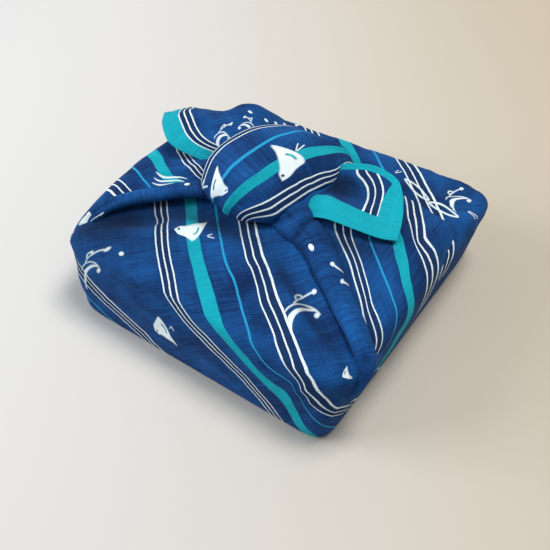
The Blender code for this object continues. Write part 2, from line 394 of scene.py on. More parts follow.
@dataclass(frozen=True)
class Drawing:
    """The figures of the print, with x to a figure's right and y up, in its half lengths.

    Each figure's method gives a number that is 1 on the figure and 0 off it.
    """

    x: Varying
    y: Varying

    def bird(self) -> Varying:
        """A plump plover in flight, between its back and the two sides of its wing.

        The back is 0.08 + 0.10x + 0.04x^2 with a round head. The wing hangs to a point below its
        middle: its fore side is the line -0.88 - 0.86x, and its hind side -0.88 + 0.08x + 1.02x^2.
        Its eye and the edge of its wing are left open.

        Returns:
            The bird, from its beak at -1 to its tail at 1.
        """
        x, y = self.x, self.y
        back = x * 0.10 + x * x * 0.04 + x.bump(-0.62, 0.24) * 0.09 + x.bump(1.0, 0.22) * 0.08 + 0.08
        fore = x * -0.86 - 0.88 + x.bump(-0.75, 0.25) * -0.08
        hind = x * 0.08 + x * x * 1.02 - 0.88
        body = y.below(back) * fore.below(y) * hind.below(y) * x.near(0.0, 1.0)
        eye = (x + 0.70).hypot(y + 0.02).below(0.075, 16.0)
        wing = (x - 0.02).hypot(y + 0.12).near(0.44, 0.055, 16.0) * y.below(-0.16) * x.above(0.14)
        return body * eye.rest() * wing.rest()

    def wave(self) -> Varying:
        """A breaking wave: a claw between two circles with a ball at its tip, a thin crest over it
        and a stem with a ball and a curl.

        Returns:
            The wave, which breaks to the right.
        """
        x, y = self.x, self.y
        claw = (x - 0.45).hypot(y + 0.95).below(1.36) * (x - 0.60).hypot(y + 0.82).below(1.09).rest()
        claw = claw * x.below(0.84) * (x * -1.0 - y * 0.26).below(0.83) * y.above(-1.20)
        ball = (x - 0.90).hypot(y - 0.02).below(0.15)
        crest = (x - 0.08).hypot(y + 0.56).near(1.14, 0.040) * y.above(0.0) * x.above(-0.90)
        stem = (x - 0.75).hypot(y + 0.04).near(1.29, 0.045) * x.below(0.66) * y.above(0.50)
        spray = (x - 0.74).hypot(y - 1.27).below(0.14)
        curl = (x + 0.14).hypot(y - 0.98).near(0.20, 0.05) * (x * 0.6 - y).below(-0.93)
        return claw.joined(ball, crest, stem, spray, curl)

    def dot(self) -> Varying:
        """A round dot that fades at its edge."""
        return self.x.hypot(self.y).below(1.0, 3.0)

    def sprig(self) -> Varying:
        """Two short strokes side by side, slightly spread."""
        first = (self.y - self.x * 0.35).near(0.30, 0.10) * self.x.near(0.1, 0.75)
        return first.joined((self.y + self.x * 0.25).near(-0.30, 0.10) * self.x.near(-0.1, 0.60))

    def leaves(self) -> Varying:
        """Two long open leaves end to end: lens outlines, each |y| under 0.30 (1 - x^2).

        Returns:
            The two leaves.
        """
        outlines = []
        for middle, tilt in ((-0.62, -0.15), (0.62, 0.35)):
            a = (self.x - middle) * 1.6
            b = (self.y - (self.x - middle) * tilt) * 1.6
            lens = (a * a).rest() * 0.30
            outlines.append((b.size() - lens).near(0.0, 0.075) * a.near(0.0, 1.0))
        return outlines[0].joined(outlines[1])

    def drop(self) -> Varying:
        """A drop that flies to the left: a ball at -0.7 with a tail tapering off to 1."""
        tail = (self.y.size() + self.x * 0.055).below(0.09) * self.x.below(1.0) * self.x.above(-0.7)
        return (self.x + 0.70).hypot(self.y).below(0.27).joined(tail)

    def ripples(self) -> Varying:
        """Three long strokes side by side, each an S of 0.22 sin(2.6x), thinning to its ends.

        Returns:
            The three strokes.
        """
        level = self.y - (self.x * 2.6).node("SINE") * 0.22
        thick = self.x * self.x * -0.12 + 0.14
        strokes = [level.near(middle, thick) * self.x.near(0.0, 0.95) for middle in (-0.62, 0.0, 0.62)]
        return strokes[0].joined(*strokes[1:])

    def all(self, kind: Varying) -> Varying:
        """Every figure, each only on the faces of its own kind.

        Args:
            kind: The number of the figure that a face holds.

        Returns:
            1 where a figure is printed.
        """
        drawn = {
            Figure.BIRD: self.bird, Figure.WAVE: self.wave, Figure.DOT: self.dot, Figure.SPRIG: self.sprig,
            Figure.LEAVES: self.leaves, Figure.DROP: self.drop, Figure.RIPPLES: self.ripples,
        }
        masks = [draw() * kind.near(figure.value, 0.5) for figure, draw in drawn.items()]
        return sum(masks[1:], masks[0])


@dataclass(frozen=True)
class PrintedCotton:
    """A slubby plain-weave cotton, printed on one side in stripes, birds and waves.

    Colours are linear. Slubs run along the print and the warp across it, both as stretched noise.
    """

    ground: Colour = (0.0018, 0.022, 0.098, 1.0)
    ground_light: Colour = (0.0075, 0.105, 0.360, 1.0)
    reverse: Colour = (0.055, 0.110, 0.210, 1.0)
    reverse_light: Colour = (0.0935, 0.187, 0.357, 1.0)
    # Painted shade: the near-black that the print is darkened toward down in folds.
    fold_shade: Colour = (0.0008, 0.005, 0.018, 1.0)
    thread: float = 0.62
    slub: tuple[float, float] = (24.0, 0.9)
    waver: float = 0.7
    wear: float = 1.1
    bump_height: float = 0.25

    def uv(self, tree: bpy.types.NodeTree, name: str) -> tuple[Varying, Varying]:
        """The two numbers of a UV map.

        Args:
            tree: The material's node tree.
            name: The UV map's name.

        Returns:
            Its first and its second number.
        """
        source = add_node(tree, "UVMap", {}, uv_map=name)
        parts = add_node(tree, "SeparateXYZ", {0: source.outputs["UV"]})
        return Varying(parts.outputs["X"]), Varying(parts.outputs["Y"])

    def noise(self, across: Varying, along: Varying, pace: tuple[float, float], detail: float) -> Varying:
        """Noise that is stretched over the print.

        Args:
            across: Millimetres over the stripes.
            along: Millimetres down the stripes.
            pace: Noise cells for each millimetre across and along.
            detail: Octaves.

        Returns:
            The noise, around one half.
        """
        tree = across.socket.id_data
        ways = {"X": (across * pace[0]).socket, "Y": (along * pace[1]).socket}
        place = add_node(tree, "CombineXYZ", ways).outputs[0]
        inputs = {"Vector": place, "Scale": 1.0, "Detail": detail, "Roughness": 0.6}
        return Varying(add_node(tree, "TexNoise", inputs, noise_dimensions="2D").outputs["Fac"])

    def mixed(self, share: Varying, under: object, over: object) -> bpy.types.NodeSocket:
        """One colour laid over another.

        Args:
            share: How much of the upper colour shows.
            under: The lower colour, or the socket that gives it.
            over: The upper colour, or the socket that gives it.

        Returns:
            The socket of the mixed colour.
        """
        # The Mix node keeps its sockets for colours after those for numbers and vectors.
        inputs = {0: share.socket, 6: under, 7: over}
        return add_node(share.socket.id_data, "Mix", inputs, data_type="RGBA").outputs[2]

    def material(self, name: str, colour: Callable[..., bpy.types.NodeSocket]) -> bpy.types.Material:
        """A face of the cloth: crossing threads as the product of two sines, and raised slubs.

        Args:
            name: The material's name.
            colour: Gives the colour's socket from the millimetres across and along and the slubs.

        Returns:
            The material.
        """
        material, shader = shaded(name)
        tree = material.node_tree
        across, along = (share * REPEAT for share in self.uv(tree, "print"))
        slubs = self.noise(across, along, (1 / self.slub[0], 1 / self.slub[1]), 3.0)
        pace = 2 * math.pi / self.thread
        threads = (across * pace).node("SINE") * (along * pace).node("SINE")
        height = threads * 0.35 + slubs * 0.8 + self.noise(across, along, (0.9, 0.9), 3.0) * 1.2
        raised = {"Strength": 0.55, "Distance": self.bump_height * MM, "Height": height.socket}
        wire(shader, {
            "Base Color": colour(across, along, slubs),
            "Normal": add_node(tree, "Bump", raised).outputs["Normal"],
            "Roughness": 0.82,
            "Sheen Weight": 0.02,
            "Sheen Roughness": 0.5,
            "Specular IOR Level": 0.12,
        })
        return material

    def stripes(self, across: Varying) -> bpy.types.Node:
        """The inks of one repeat as a stepped colour ramp, whose alpha is 1 where there is ink.

        Args:
            across: Millimetres over the stripes.

        Returns:
            The colour ramp.
        """
        share = (across * (1 / REPEAT)).node("FRACT").socket
        ramp = add_node(share.id_data, "ValToRGB", {"Fac": share})
        bands = ramp.color_ramp
        bands.interpolation = "CONSTANT"
        bands.elements.remove(bands.elements[1])
        bands.elements[0].color = Ink.NONE.value
        for start, ink in STRIPES:
            bands.elements.new(start / REPEAT).color = ink.value
        return ramp

    def printed_colour(self, across: Varying, along: Varying, slubs: Varying) -> bpy.types.NodeSocket:
        """Streaked indigo under the stripes, the hem's band and the figures, with painted shade darkening it
        down in folds.

        Args:
            across: Millimetres over the stripes.
            along: Millimetres down the stripes.
            slubs: The slub noise.

        Returns:
            The colour's socket.
        """
        tree = across.socket.id_data
        kind, hem = self.uv(tree, "kind")
        warp = self.noise(across, along, (1 / self.slub[1], 1 / self.slub[0]), 2.0)
        cloudy = self.noise(across, along, (0.03, 0.03), 2.0)
        light = (slubs * 1.15 + warp * 0.55 + cloudy * 1.4).node("SUBTRACT", 1.20, clamp=True)
        waver = (self.noise(across, along, (0.05, 0.12), 3.0) - 0.5) * self.waver
        ramp = self.stripes(across + waver)
        thin = ((slubs - 0.5) * -self.wear).node("ADD", 0.97, clamp=True)
        border = (hem * REPEAT + waver).below(HEM_BAND, 3.0)
        figures = Drawing(*self.uv(tree, "figure")).all(kind)
        # Painted shade: how far the colour is darkened down in folds, read from each sheet's attribute.
        depth = add_node(tree, "Attribute", {}, attribute_name=SHADE_ATTRIBUTE)
        colour = self.mixed(light, self.ground, self.ground_light)
        inked = Varying(ramp.outputs["Alpha"]) * thin * border.rest()
        colour = self.mixed(inked, colour, ramp.outputs["Color"])
        colour = self.mixed(border * thin, colour, Ink.TEAL.value)
        colour = self.mixed(figures, colour, Ink.PALE.value)
        # The colour darkened toward the painted shade colour down in folds.
        return self.mixed(Varying(depth.outputs["Fac"]), colour, self.fold_shade)

    def plain_colour(self, across: Varying, along: Varying, slubs: Varying) -> bpy.types.NodeSocket:
        """Greyed indigo with paler slubs, the same whatever the place across and along."""
        return self.mixed(slubs, self.reverse, self.reverse_light)


@dataclass(frozen=True)
class Cut:
    """What a sheet is of the flat square: its size in metres and how it is held."""

    width: float
    length: float
    hold: Hold


@dataclass(frozen=True)
class Cloth:
    """What every sheet of the wrap shares: its two faces and its thickness."""

    face: bpy.types.Material
    reverse: bpy.types.Material
    thickness: float = 0.6


@dataclass(frozen=True)
class Lay:
    """How the print lies on a sheet, by courses of points that known lines of it run through.

    A course is its millimetre, over the stripes or down them, and then points as row and place.
    """

    across: tuple
    along: tuple
    scale: tuple[float, float] = (0.35, 1.0)

    def at(self, row: np.ndarray, place: np.ndarray) -> list[np.ndarray]:
        """Millimetres of the print at each row and section place, by a plate through each table.

        Args:
            row: Row numbers.
            place: Section places.

        Returns:
            Millimetres across and along the stripes.
        """
        made = []
        for courses in (self.across, self.along):
            spots = np.array([point for _, *points in courses for point in points], float)
            known = np.array([known for known, *points in courses for _ in points], float)
            made.append(plate(spots * self.scale, known, row * self.scale[0], place * self.scale[1]))
        return made


@dataclass(kw_only=True)
class Form:
    """A fold of the cloth that is a sheet of its own.

    Its table holds rows to smooth in so many steps. Creases lift it, painted shade darkens its colour
    down in folds, the lay and the motifs print it, and it faces away from the point inside. A ring's
    last column meets its first, and its two poles are closed.
    """

    name: str
    rows: tuple
    cut: Cut
    steps: int
    inside: Point
    seed: int = 0
    motifs: tuple[Motif, ...] = ()
    lay: Lay | None = None
    creases: Creases = ()
    # Painted shade: lines along which the colour is darkened, in the columns of a table of creases.
    painted_shade: Creases = ()
    ring: bool = False

    def surface(self) -> tuple[np.ndarray, ...]:
        """Points of the grid, and the print's millimetres across, along and from the hem at each."""
        raise NotImplementedError

    def faces(self, points: np.ndarray) -> list[list[int]]:
        """The grid's faces, turned to face away from the point inside, a ring's two fans included.

        Args:
            points: Rows by columns by 3.

        Returns:
            The corners of each face.
        """
        rows, columns = points.shape[:2]
        i, j = np.indices((rows - 1, columns if self.ring else columns - 1))
        here, beside = i * columns + j, i * columns + (j + 1) % columns
        quads = np.stack([here, beside, beside + columns, here + columns], -1).reshape(-1, 4)
        corners = points.reshape(-1, 3)[quads]
        normal = np.cross(corners[:, 2] - corners[:, 0], corners[:, 3] - corners[:, 1])
        way = -1 if (normal * (corners.mean(1) - np.array(self.inside))).sum() < 0 else 1
        faces = quads[:, ::way].tolist()
        if self.ring:
            j, count = np.arange(columns), rows * columns
            for side, pole, first in ((-way, count, 0), (way, count + 1, count - columns)):
                pair = np.stack([j, (j + 1) % columns], -1)[:, ::side] + first
                faces += np.column_stack([pair, np.full(columns, pole)]).tolist()
        return faces

    def with_poles(self, values: np.ndarray) -> np.ndarray:
        """A value for every vertex, the poles of a ring included."""
        flat = values.reshape((-1,) + values.shape[2:])
        return np.concatenate([flat, values[[0, -1]].mean(1)]) if self.ring else flat

    def print_maps(self, owner: np.ndarray, across: np.ndarray, along: np.ndarray,
                   hem: np.ndarray) -> dict[str, np.ndarray]:
        """The UV maps of the print, the figures and the hem.

        Each face belongs to the nearest figure in reach, and holds places measured from it.

        Args:
            owner: The face of each corner.
            across: Millimetres over the stripes at each corner.
            along: Millimetres down the stripes at each.
            hem: The distance from the nearest hem at each.

        Returns:
            The places of each corner, by the map's name.
        """
        sizes = np.bincount(owner)
        middles = np.bincount(owner, across) / sizes, np.bincount(owner, along) / sizes
        nearest, kind = np.full(len(sizes), FIGURE_REACH), np.zeros(len(sizes))
        local = np.full((len(owner), 2), FAR_OFF)
        for motif in self.motifs:
            gap = np.linalg.norm(motif.local(*middles), axis=-1)
            held = gap < nearest
            nearest[held] = gap[held]
            kind[held] = motif.figure.value
            local[held[owner]] = motif.local(across, along)[held[owner]]
        return {
            "print": np.stack([across, along], -1) / REPEAT,
            "figure": local,
            "kind": np.stack([kind[owner], hem / REPEAT], -1),
        }

    def build(self, cloth: Cloth) -> bpy.types.Object:
        """Args:
            cloth: The cloth it is made of.

        Returns:
            The finished piece.
        """
        points, *places = self.surface()
        faces = self.faces(points)
        mesh = bpy.data.meshes.new(self.name)
        mesh.from_pydata((self.with_poles(points) * MM).tolist(), [], faces)
        mesh.shade_smooth()
        loops = np.concatenate(faces, dtype=int)
        owner = np.repeat(np.arange(len(faces)), [len(face) for face in faces])
        maps = self.print_maps(owner, *(self.with_poles(values)[loops] for values in places))
        for name, values in maps.items():
            mesh.uv_layers.new(name=name).data.foreach_set("uv", values.astype(np.float32).reshape(-1))
        # Painted shade: the colour darkens along the lines where folds keep the light out.
        fold_shade = self.with_poles(np.clip(crease_lift(points, self.painted_shade), 0.0, DARKEST_SHADE))
        mesh.attributes.new(SHADE_ATTRIBUTE, "FLOAT", "POINT").data.foreach_set("value", fold_shade.astype(np.float32))
        mesh.materials.append(cloth.face)
        mesh.materials.append(cloth.reverse)
        piece = bpy.data.objects.new(self.name, mesh)
        bpy.context.collection.objects.link(piece)
        solid = piece.modifiers.new("thickness", "SOLIDIFY")
        solid.thickness = cloth.thickness * MM
        solid.offset = -1.0
        solid.material_offset = 1
        solid.use_rim = True
        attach(piece, BODY)
        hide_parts(NODE)
        LOG.info("%s: %d faces", self.name, len(faces))
        return piece


# The print on the front half of the parcel, by x and by y less the drop below the brow.
FRONT_LAY = Lay(
    across=(
        (-61.6, (-78, -114), (-64, -121), (-41, -132)), (-48, (-100, -80)), (-5, (-100, -20)),
        (6.4, (-75, -26.4), (-54, -49.9), (-28, -75), (-4, -95.9), (10, -102.6)),
        (6.4, (22, -109.2), (34, -116), (44, -124.5), (53, -132.9)),
        (25.8, (-32, -47), (-8, -68), (13, -85.3), (25, -93.3), (36, -100.7), (46, -107)),
        (25.8, (54, -110.9), (62, -114.4), (67, -122.7), (72, -131.2)),
        (41.65, (-20, -36), (4, -56.1), (17, -67.5), (30, -79), (39, -87.9), (48, -95.4)),
        (41.65, (57, -97.1), (65, -98.5), (71, -106), (76, -115), (83, -119.8)),
        (54.7, (3, -41.3), (26, -61.5), (43, -74.2), (56, -84.8), (64, -91.2), (70, -99.3)),
        (54.7, (76, -106.4), (83, -109.5), (88, -109.5)), (59.4, (85, -105.5), (79, -101)),
        (64.1, (-11, -14.9), (19, -41.9), (36, -57.3), (50, -68.5), (62, -78.3), (74, -87.2)),
        (64.1, (82, -96.1), (89, -102.5)), (100, (60, -32)),
    ),
    along=(
        (0, (-60, -60), (0, 0)), (-70, (50, -50), (20, -80), (-27, -120)),
        (-141, (100, -100), (75, -133)), (45, (-100, -37)),
    ),
    scale=(0.02, 0.02),
)


PARCEL_MOTIFS = (
    # the panel folded over the front
    Motif(Figure.BIRD, 24.9, 4.2, 1, 10.4, 1.4),
    Motif(Figure.SPRIG, 36.1, -6.5, 0, 2.4, 1.3, mirrored=True),
    Motif(Figure.WAVE, -50.1, -17.6, -12, 10.2, 1.61, -38),
    Motif(Figure.DOT, -18.9, -11, 0, 1.5),
    Motif(Figure.WAVE, 73.6, -72.4, -13, 9.6, 1.26, -6),
    # the front wall
    Motif(Figure.BIRD, -32.4, -73.2, -27, 8.7, 2.4, -18, mirrored=True),
    Motif(Figure.SPRIG, -15.6, -69.2, -143, 2.8, 1.2, 30),
    Motif(Figure.BIRD, 83.5, -114.4, 95, 3.4, 1.25, 16, mirrored=True),
    # the panel folded over the back
    Motif(Figure.LEAVES, 62.3, 482.7, -62, 18, 0.8, 25),
    Motif(Figure.WAVE, 79.3, 479.7, 3, 9.2, 0.93, -5),
    Motif(Figure.SPRIG, 86.1, 468.7, -34, 5.2, 0.7),
    Motif(Figure.SPRIG, 50.4, 511, 28, 3, 0.93, -20, mirrored=True),
    Motif(Figure.DOT, -2, 575.9),
    # the back wall
    Motif(Figure.BIRD, 83.2, 541, 135, 9.5, 1.3, 8),
    Motif(Figure.SPRIG, 73.2, 554, 135, 2.6),
    Motif(Figure.WAVE, 101.2, 512, 135, 8, 1.4, 10),
    Motif(Figure.BIRD, -20.8, 602, 135, 7, 1.3, -6, mirrored=True),
)


@dataclass(kw_only=True)
class ParcelCloth(Form):
    """The square round the box: underside, walls and the two panels folded over the top."""

    name: str = "parcel_cloth"
    cut: Cut = Cut(0.335, 0.315, Hold.FOLDED)
    steps: int = 9
    inside: Point = (0.0, 0.0, 25.0)
    ring: bool = True
    motifs: tuple[Motif, ...] = PARCEL_MOTIFS
    around: int = 360
    crowding: float = 0.17
    brow: float = 48.0
    back_across: float = -30.0
    back_along: float = 484.0
    back_slip: tuple[float, float] = (0.955, 0.57)
    floor_clearance: tuple[float, float] = (2.0, 10.0)
    # foot x, foot y, brow x, brow y, way along the front, way to the back
    corners: tuple = (
        (-91.0, -93.0, -107.0, -87.0, -1, -1),
        (87.0, -92.0, 94.0, -88.0, 1, -1),
        (92.0, 92.0, 100.0, 100.0, 1, 1),
        (-91.0, 90.0, -99.0, 87.0, -1, 1),
    )
    # height, reach from the axis, share of the way from foot to brow, squareness
    rows: tuple = (
        (0.0, 0.02, 0.0, 2.0), (0.0, 0.50, 0.0, 8.0), (0.0, 0.90, 0.0, 18.0), (0.0, 0.965, 0.0, 18.0),
        (1.0, 0.988, 0.0, 18.0), (4.0, 1.0, 0.05, 18.0), (16.0, 1.005, 0.20, 16.0), (30.0, 1.005, 0.50, 14.0),
        (39.0, 1.0, 0.88, 12.0), (44.5, 0.99, 1.0, 11.0), (48.2, 0.96, 1.0, 10.0), (50.0, 0.90, 1.0, 8.0),
        (51.0, 0.74, 1.0, 6.0), (51.6, 0.50, 1.0, 5.0), (54.0, 0.24, 1.0, 4.0), (54.6, 0.02, 1.0, 2.0),
    )
    # the least that smoothing may leave in each column
    least: tuple[float, ...] = (0.0, 0.004, -1.0, 2.0)
    creases: Creases = (
        # ridges, sags and hollows of the corners and panels
        (-100, -80, 49, -50, -52, 51, 9, 1.6), (-96, -62, 49, -45, -36, 51, 8, -2),
        (-40, -66, 50, 20, -60, 50, 22, -1.4), (92, -84, 46, 44, -58, 50, 8, 1.6),
        (70, 84, 49, 98, 74, 46, 9, -3), (-10, 78, 50, 70, 72, 50, 10, 1.6),
        (-92, 86, 48, -40, 52, 51, 10, 2),
        # tucks and swells of the front wall
        (-104, -84, 42, -70, -90, 18, 4, -1.3), (-104, -80, 34, -84, -92, 12, 3, 1),
        (-60, -91, 30, 40, -91, 26, 14, 0.9), (90, -86, 40, 60, -91, 10, 4, -1.2),
        (92, -84, 30, 76, -92, 8, 3.5, 1),
        # where the pleat, the knot and the strip press the panel down
        (-92, -66, 50, -48, -24, 52, 6, -3.4), (-52, -26, 52, -10, -26, 52, 6, -4),
        (10, -22, 52, 76, -66, 50, 5.5, -3.4),
        # puckers by the corner and along the brow
        (82, -82, 48, 58, -66, 51, 4, -1.6), (88, -76, 48, 66, -60, 51, 3.5, 1.2),
        (30, -92, 46, 22, -70, 51, 5, 0.9), (44, -92, 46, 34, -70, 51, 5, -0.9),
        # pulls toward the knot
        (-60, -44, 51, -34, -30, 52, 5, 0.8), (40, -40, 51, 6, -20, 52, 5, 1),
        (20, -46, 51, -4, -22, 52, 5, -0.9),
        # the right corner and the back wall
        (98, 84, 46, 60, 60, 51, 5, 1.1), (60, 92, 44, 84, 92, 10, 5, -1.2),
        # pulls across the front panel
        (-46, -60, 51, -30, -34, 52, 4, 0.8), (-34, -62, 51, -20, -34, 52, 4, -0.8),
        (2, -74, 50, 10, -36, 52, 4.5, 0.8), (14, -72, 50, 20, -34, 52, 4.5, -0.9),
        # a tuck and its lip at the foot
        (-40, -92, 8, -20, -91, 26, 4, -0.8), (-30, -92, 6, -10, -91, 26, 4, 0.8),
    )
    painted_shade: Creases = (
        # painted shade under the pleat, under the knot, beside the strip, on the left panel, in the corner's
        # tuck
        (-104, -72, 47, -48, -26, 51, 10, 0.66), (-56, -27, 51, -4, -25, 51, 7.5, 0.72),
        (0, -22, 51, 84, -73, 49, 4.5, 0.55), (-104, -80, 49, -58, -56, 51, 19, 0.45),
        (-104, -84, 42, -72, -90, 18, 5, 0.3),
    )
    # wave length, height, seed, and how its two coordinates mix x, y and z
    waves: tuple = (
        (34.0, 0.55, 3, (1, 0, 0.4), (0, 1, -0.7)),
        (13.0, 0.32, 4, (1, 0, -0.5), (0, 1, 0.8)),
        (5.0, 0.12, 5, (1, -0.9, 0), (0, 0.4, 0.4)),
    )

    def level(self, level: np.ndarray) -> np.ndarray:
        """One level: a superellipse in the unit square, stretched to the four corners.

        Args:
            level: Height, reach, share from foot to brow, squareness.

        Returns:
            Points round the level.
        """
        height, reach, share, squareness = level
        turn = 2 * math.pi * np.arange(self.around) / self.around
        turn = turn + self.crowding * np.sin(4 * turn)
        a, b = np.cos(turn), np.sin(turn)
        size = (np.abs(a) ** squareness + np.abs(b) ** squareness) ** (1 / squareness)
        a, b = reach * a / size, reach * b / size
        x, y = np.zeros_like(a), np.zeros_like(a)
        for foot_x, foot_y, brow_x, brow_y, way_x, way_y in self.corners:
            weight = (1 + way_x * a) * (1 + way_y * b) / 4
            x += weight * (foot_x + share * (brow_x - foot_x))
            y += weight * (foot_y + share * (brow_y - foot_y))
        return np.stack([x, y, np.full_like(x, height)], -1)

    def creased(self, points: np.ndarray) -> np.ndarray:
        """The points moved out along their normals by every crease and a soft unevenness.

        Args:
            points: Rows by columns by 3.

        Returns:
            The moved points, none below the surface it stands on.
        """
        lift = crease_lift(points, self.creases)
        clear_of_floor = ease(points[..., 2], *self.floor_clearance)
        for size, height, seed, first, second in self.waves:
            lift += height * clear_of_floor * wander(points @ first, points @ second, size, seed)
        moved = points + normals_of(points, True, self.inside) * lift[..., None]
        moved[..., 2] = np.maximum(moved[..., 2], 0.0)
        return moved

    def surface(self) -> tuple[np.ndarray, ...]:
        """The sheet's surface, with the print diagonal on the top and steeper down the walls.

        The front half is unrolled, so that a drop counts as a way further forward. On the back half
        the stripes follow x + y, slip for each millimetre of drop, and are counted from further down
        the cloth.

        Returns:
            Its points, and the print's millimetres across, along and from the hem at each.
        """
        levels = np.maximum(smooth_rows(np.array(self.rows), self.steps), self.least)
        points = self.creased(np.stack([self.level(level) for level in levels]))
        x, y, z = np.moveaxis(points, -1, 0)
        drop = np.maximum(self.brow - z, 0)
        slip_across, slip_along = self.back_slip
        back = (
            (x + y) / math.sqrt(2) + slip_across * drop + self.back_across,
            (y - x) / math.sqrt(2) + slip_along * drop + self.back_along,
        )
        across, along = (np.where(y < 0, *halves) for halves in zip(FRONT_LAY.at(x, y - drop), back))
        return points, across, along, np.full(x.shape, NO_HEM)


@dataclass(kw_only=True)
class Gathered(Form):
    """A sheet of curved sections, each running from side to side as s, a power of a cosine.

    Folds run down it, and fade in and out over some rows: before and after their first row, before
    their last, and past it. It turns under at both sides by tuck degrees. Its unevenness is a height,
    a wave length and how much of the run down it counts.
    """

    columns: int
    spread: float
    flatness: float
    tuck: float
    fade: tuple[float, float, float]
    unevenness: tuple[float, float, float]
    folds: Folds = ()

    def sections(self) -> tuple[np.ndarray, np.ndarray, np.ndarray, np.ndarray]:
        """The smoothed table and the shape of its sections.

        Returns:
            The rows, their row numbers, the section places and the rise at each place.
        """
        rows = smooth_rows(np.array(self.rows, float), self.steps)
        turn = np.radians(np.linspace(180 + self.tuck, -self.tuck, self.columns))
        place = signed_power(np.cos(turn), self.spread)[None]
        rise = signed_power(np.sin(turn), self.flatness)[None]
        return rows, np.arange(len(rows)) / self.steps, place, rise

    def lift(self, row: np.ndarray, run: np.ndarray, place: np.ndarray, half: np.ndarray) -> np.ndarray:
        """How far the folds and a soft unevenness lift each point: a bell over each fold's line.

        Args:
            row: The rows' numbers.
            run: The length run down to each row.
            place: The section places.
            half: Half the width of each row's section.

        Returns:
            The lift in millimetres.
        """
        height, size, run_share = self.unevenness
        lift = height * wander(run[:, None] * run_share, place * half, size, self.seed)
        fade_in, before, past = self.fade
        for first, last, first_place, last_place, half_width, height in self.folds:
            share = np.clip((row - first) / (last - first), 0, 1)
            line = first_place + share * (last_place - first_place)
            window = ease(row, first - fade_in, first + fade_in) * (1 - ease(row, last - before, last + past))
            lift += height * bell((place - line[:, None]) * half, half_width) * window[:, None]
        return lift

    def laid(self, points: np.ndarray, row: np.ndarray, place: np.ndarray) -> tuple[np.ndarray, ...]:
        """The points with the print laid over them by row and section place, far from any hem."""
        return points, *self.lay.at(row[:, None], place), np.full(points.shape[:2], NO_HEM)


@dataclass(kw_only=True)
class TiedEnd(Gathered):
    """A gathered end of the cloth, from the foot of the wall, over its brow, to the knot.

    Its table's columns: front x, y, z, back x, y, z, crown, depth.
    """

    inside: Point = (0.0, 0.0, 20.0)
    steps: int = 12
    columns: int = 170
    spread: float = 0.8
    flatness: float = 0.55
    tuck: float = 40.0
    fade: tuple[float, float, float] = (0.6, 0.4, 0.8)
    unevenness: tuple[float, float, float] = (0.35, 20.0, 0.6)
    sink: float = 0.5
    open_rise: float = 0.9

    def surface(self) -> tuple[np.ndarray, ...]:
        """The end's surface.

        Each section runs from the front point to the back one. It stands out by the crown times
        1 - s^2 and half the depth times a power of the sine.

        Returns:
            Its points, and the print's millimetres across, along and from the hem at each.
        """
        rows, row, place, rise = self.sections()
        front, back, crown, depth = np.split(rows, (3, 6, 7), axis=1)
        middle, reach = (front + back) / 2, (back - front) / 2
        outward = unit(np.cross(unit(back - front), unit(np.gradient(middle, axis=0))))
        outward = (outward * np.sign(outward[len(rows) // 2, 2]))[:, None]
        below = np.minimum(rise, 0)
        out = crown * (1 - place**2) * (1 + below) + depth * (rise / 2 + self.sink * below)
        half = np.linalg.norm(reach, axis=1, keepdims=True)
        open_face = ease(rise, 0.0, self.open_rise)
        out = out + open_face * self.lift(row, run_of(middle), place, half)
        points = middle[:, None] + place[..., None] * reach[:, None] + out[..., None] * outward
        points = points + (crease_lift(points, self.creases) * open_face)[..., None] * outward
        return self.laid(points, row, np.where(rise < 0, np.sign(place) * 2 - place, place))


@dataclass(kw_only=True)
class ClothRoll(Gathered):
    """Cloth rolled or gathered along a path.

    Its table's columns: the x, y and z of the section's top, half width, half thickness.
    """

    steps: int = 24
    columns: int = 90
    spread: float = 0.9
    flatness: float = 0.85
    tuck: float = 55.0
    fade: tuple[float, float, float] = (0.5, 0.5, 0.5)
    unevenness: tuple[float, float, float] = (0.25, 16.0, 0.5)

    def surface(self) -> tuple[np.ndarray, ...]:
        """The roll's surface.

        Each section is level and square to the path, and rises by the half thickness times a power
        of the sine. Its places are counted round the section from its top.

        Returns:
            Its points, and the print's millimetres across, along and from the hem at each.
        """
        rows, row, place, rise = self.sections()
        top, half_width, half_thick = np.split(rows, (3, 4), axis=1)
        centre = top - half_thick * UP
        path = unit(np.gradient(centre, axis=0))
        side = unit(np.cross(path, UP))
        through = unit(np.cross(side, path))[:, None]
        side = side[:, None]
        around = np.cumsum(np.hypot(np.gradient(place, axis=1), np.gradient(rise, axis=1)), axis=1)
        around = around - around[:, self.columns // 2, None]
        lift = self.lift(row, run_of(centre), around, half_width)[..., None]
        outward = place[..., None] * half_thick[:, None] * side
        outward = unit(outward + rise[..., None] * half_width[:, None] * through)
        level, height = (half_width * place)[..., None], (half_thick * rise)[..., None]
        points = centre[:, None] + level * side + height * through + lift * outward
        points = points + crease_lift(points, self.creases)[..., None] * outward
        return self.laid(points, row, around)


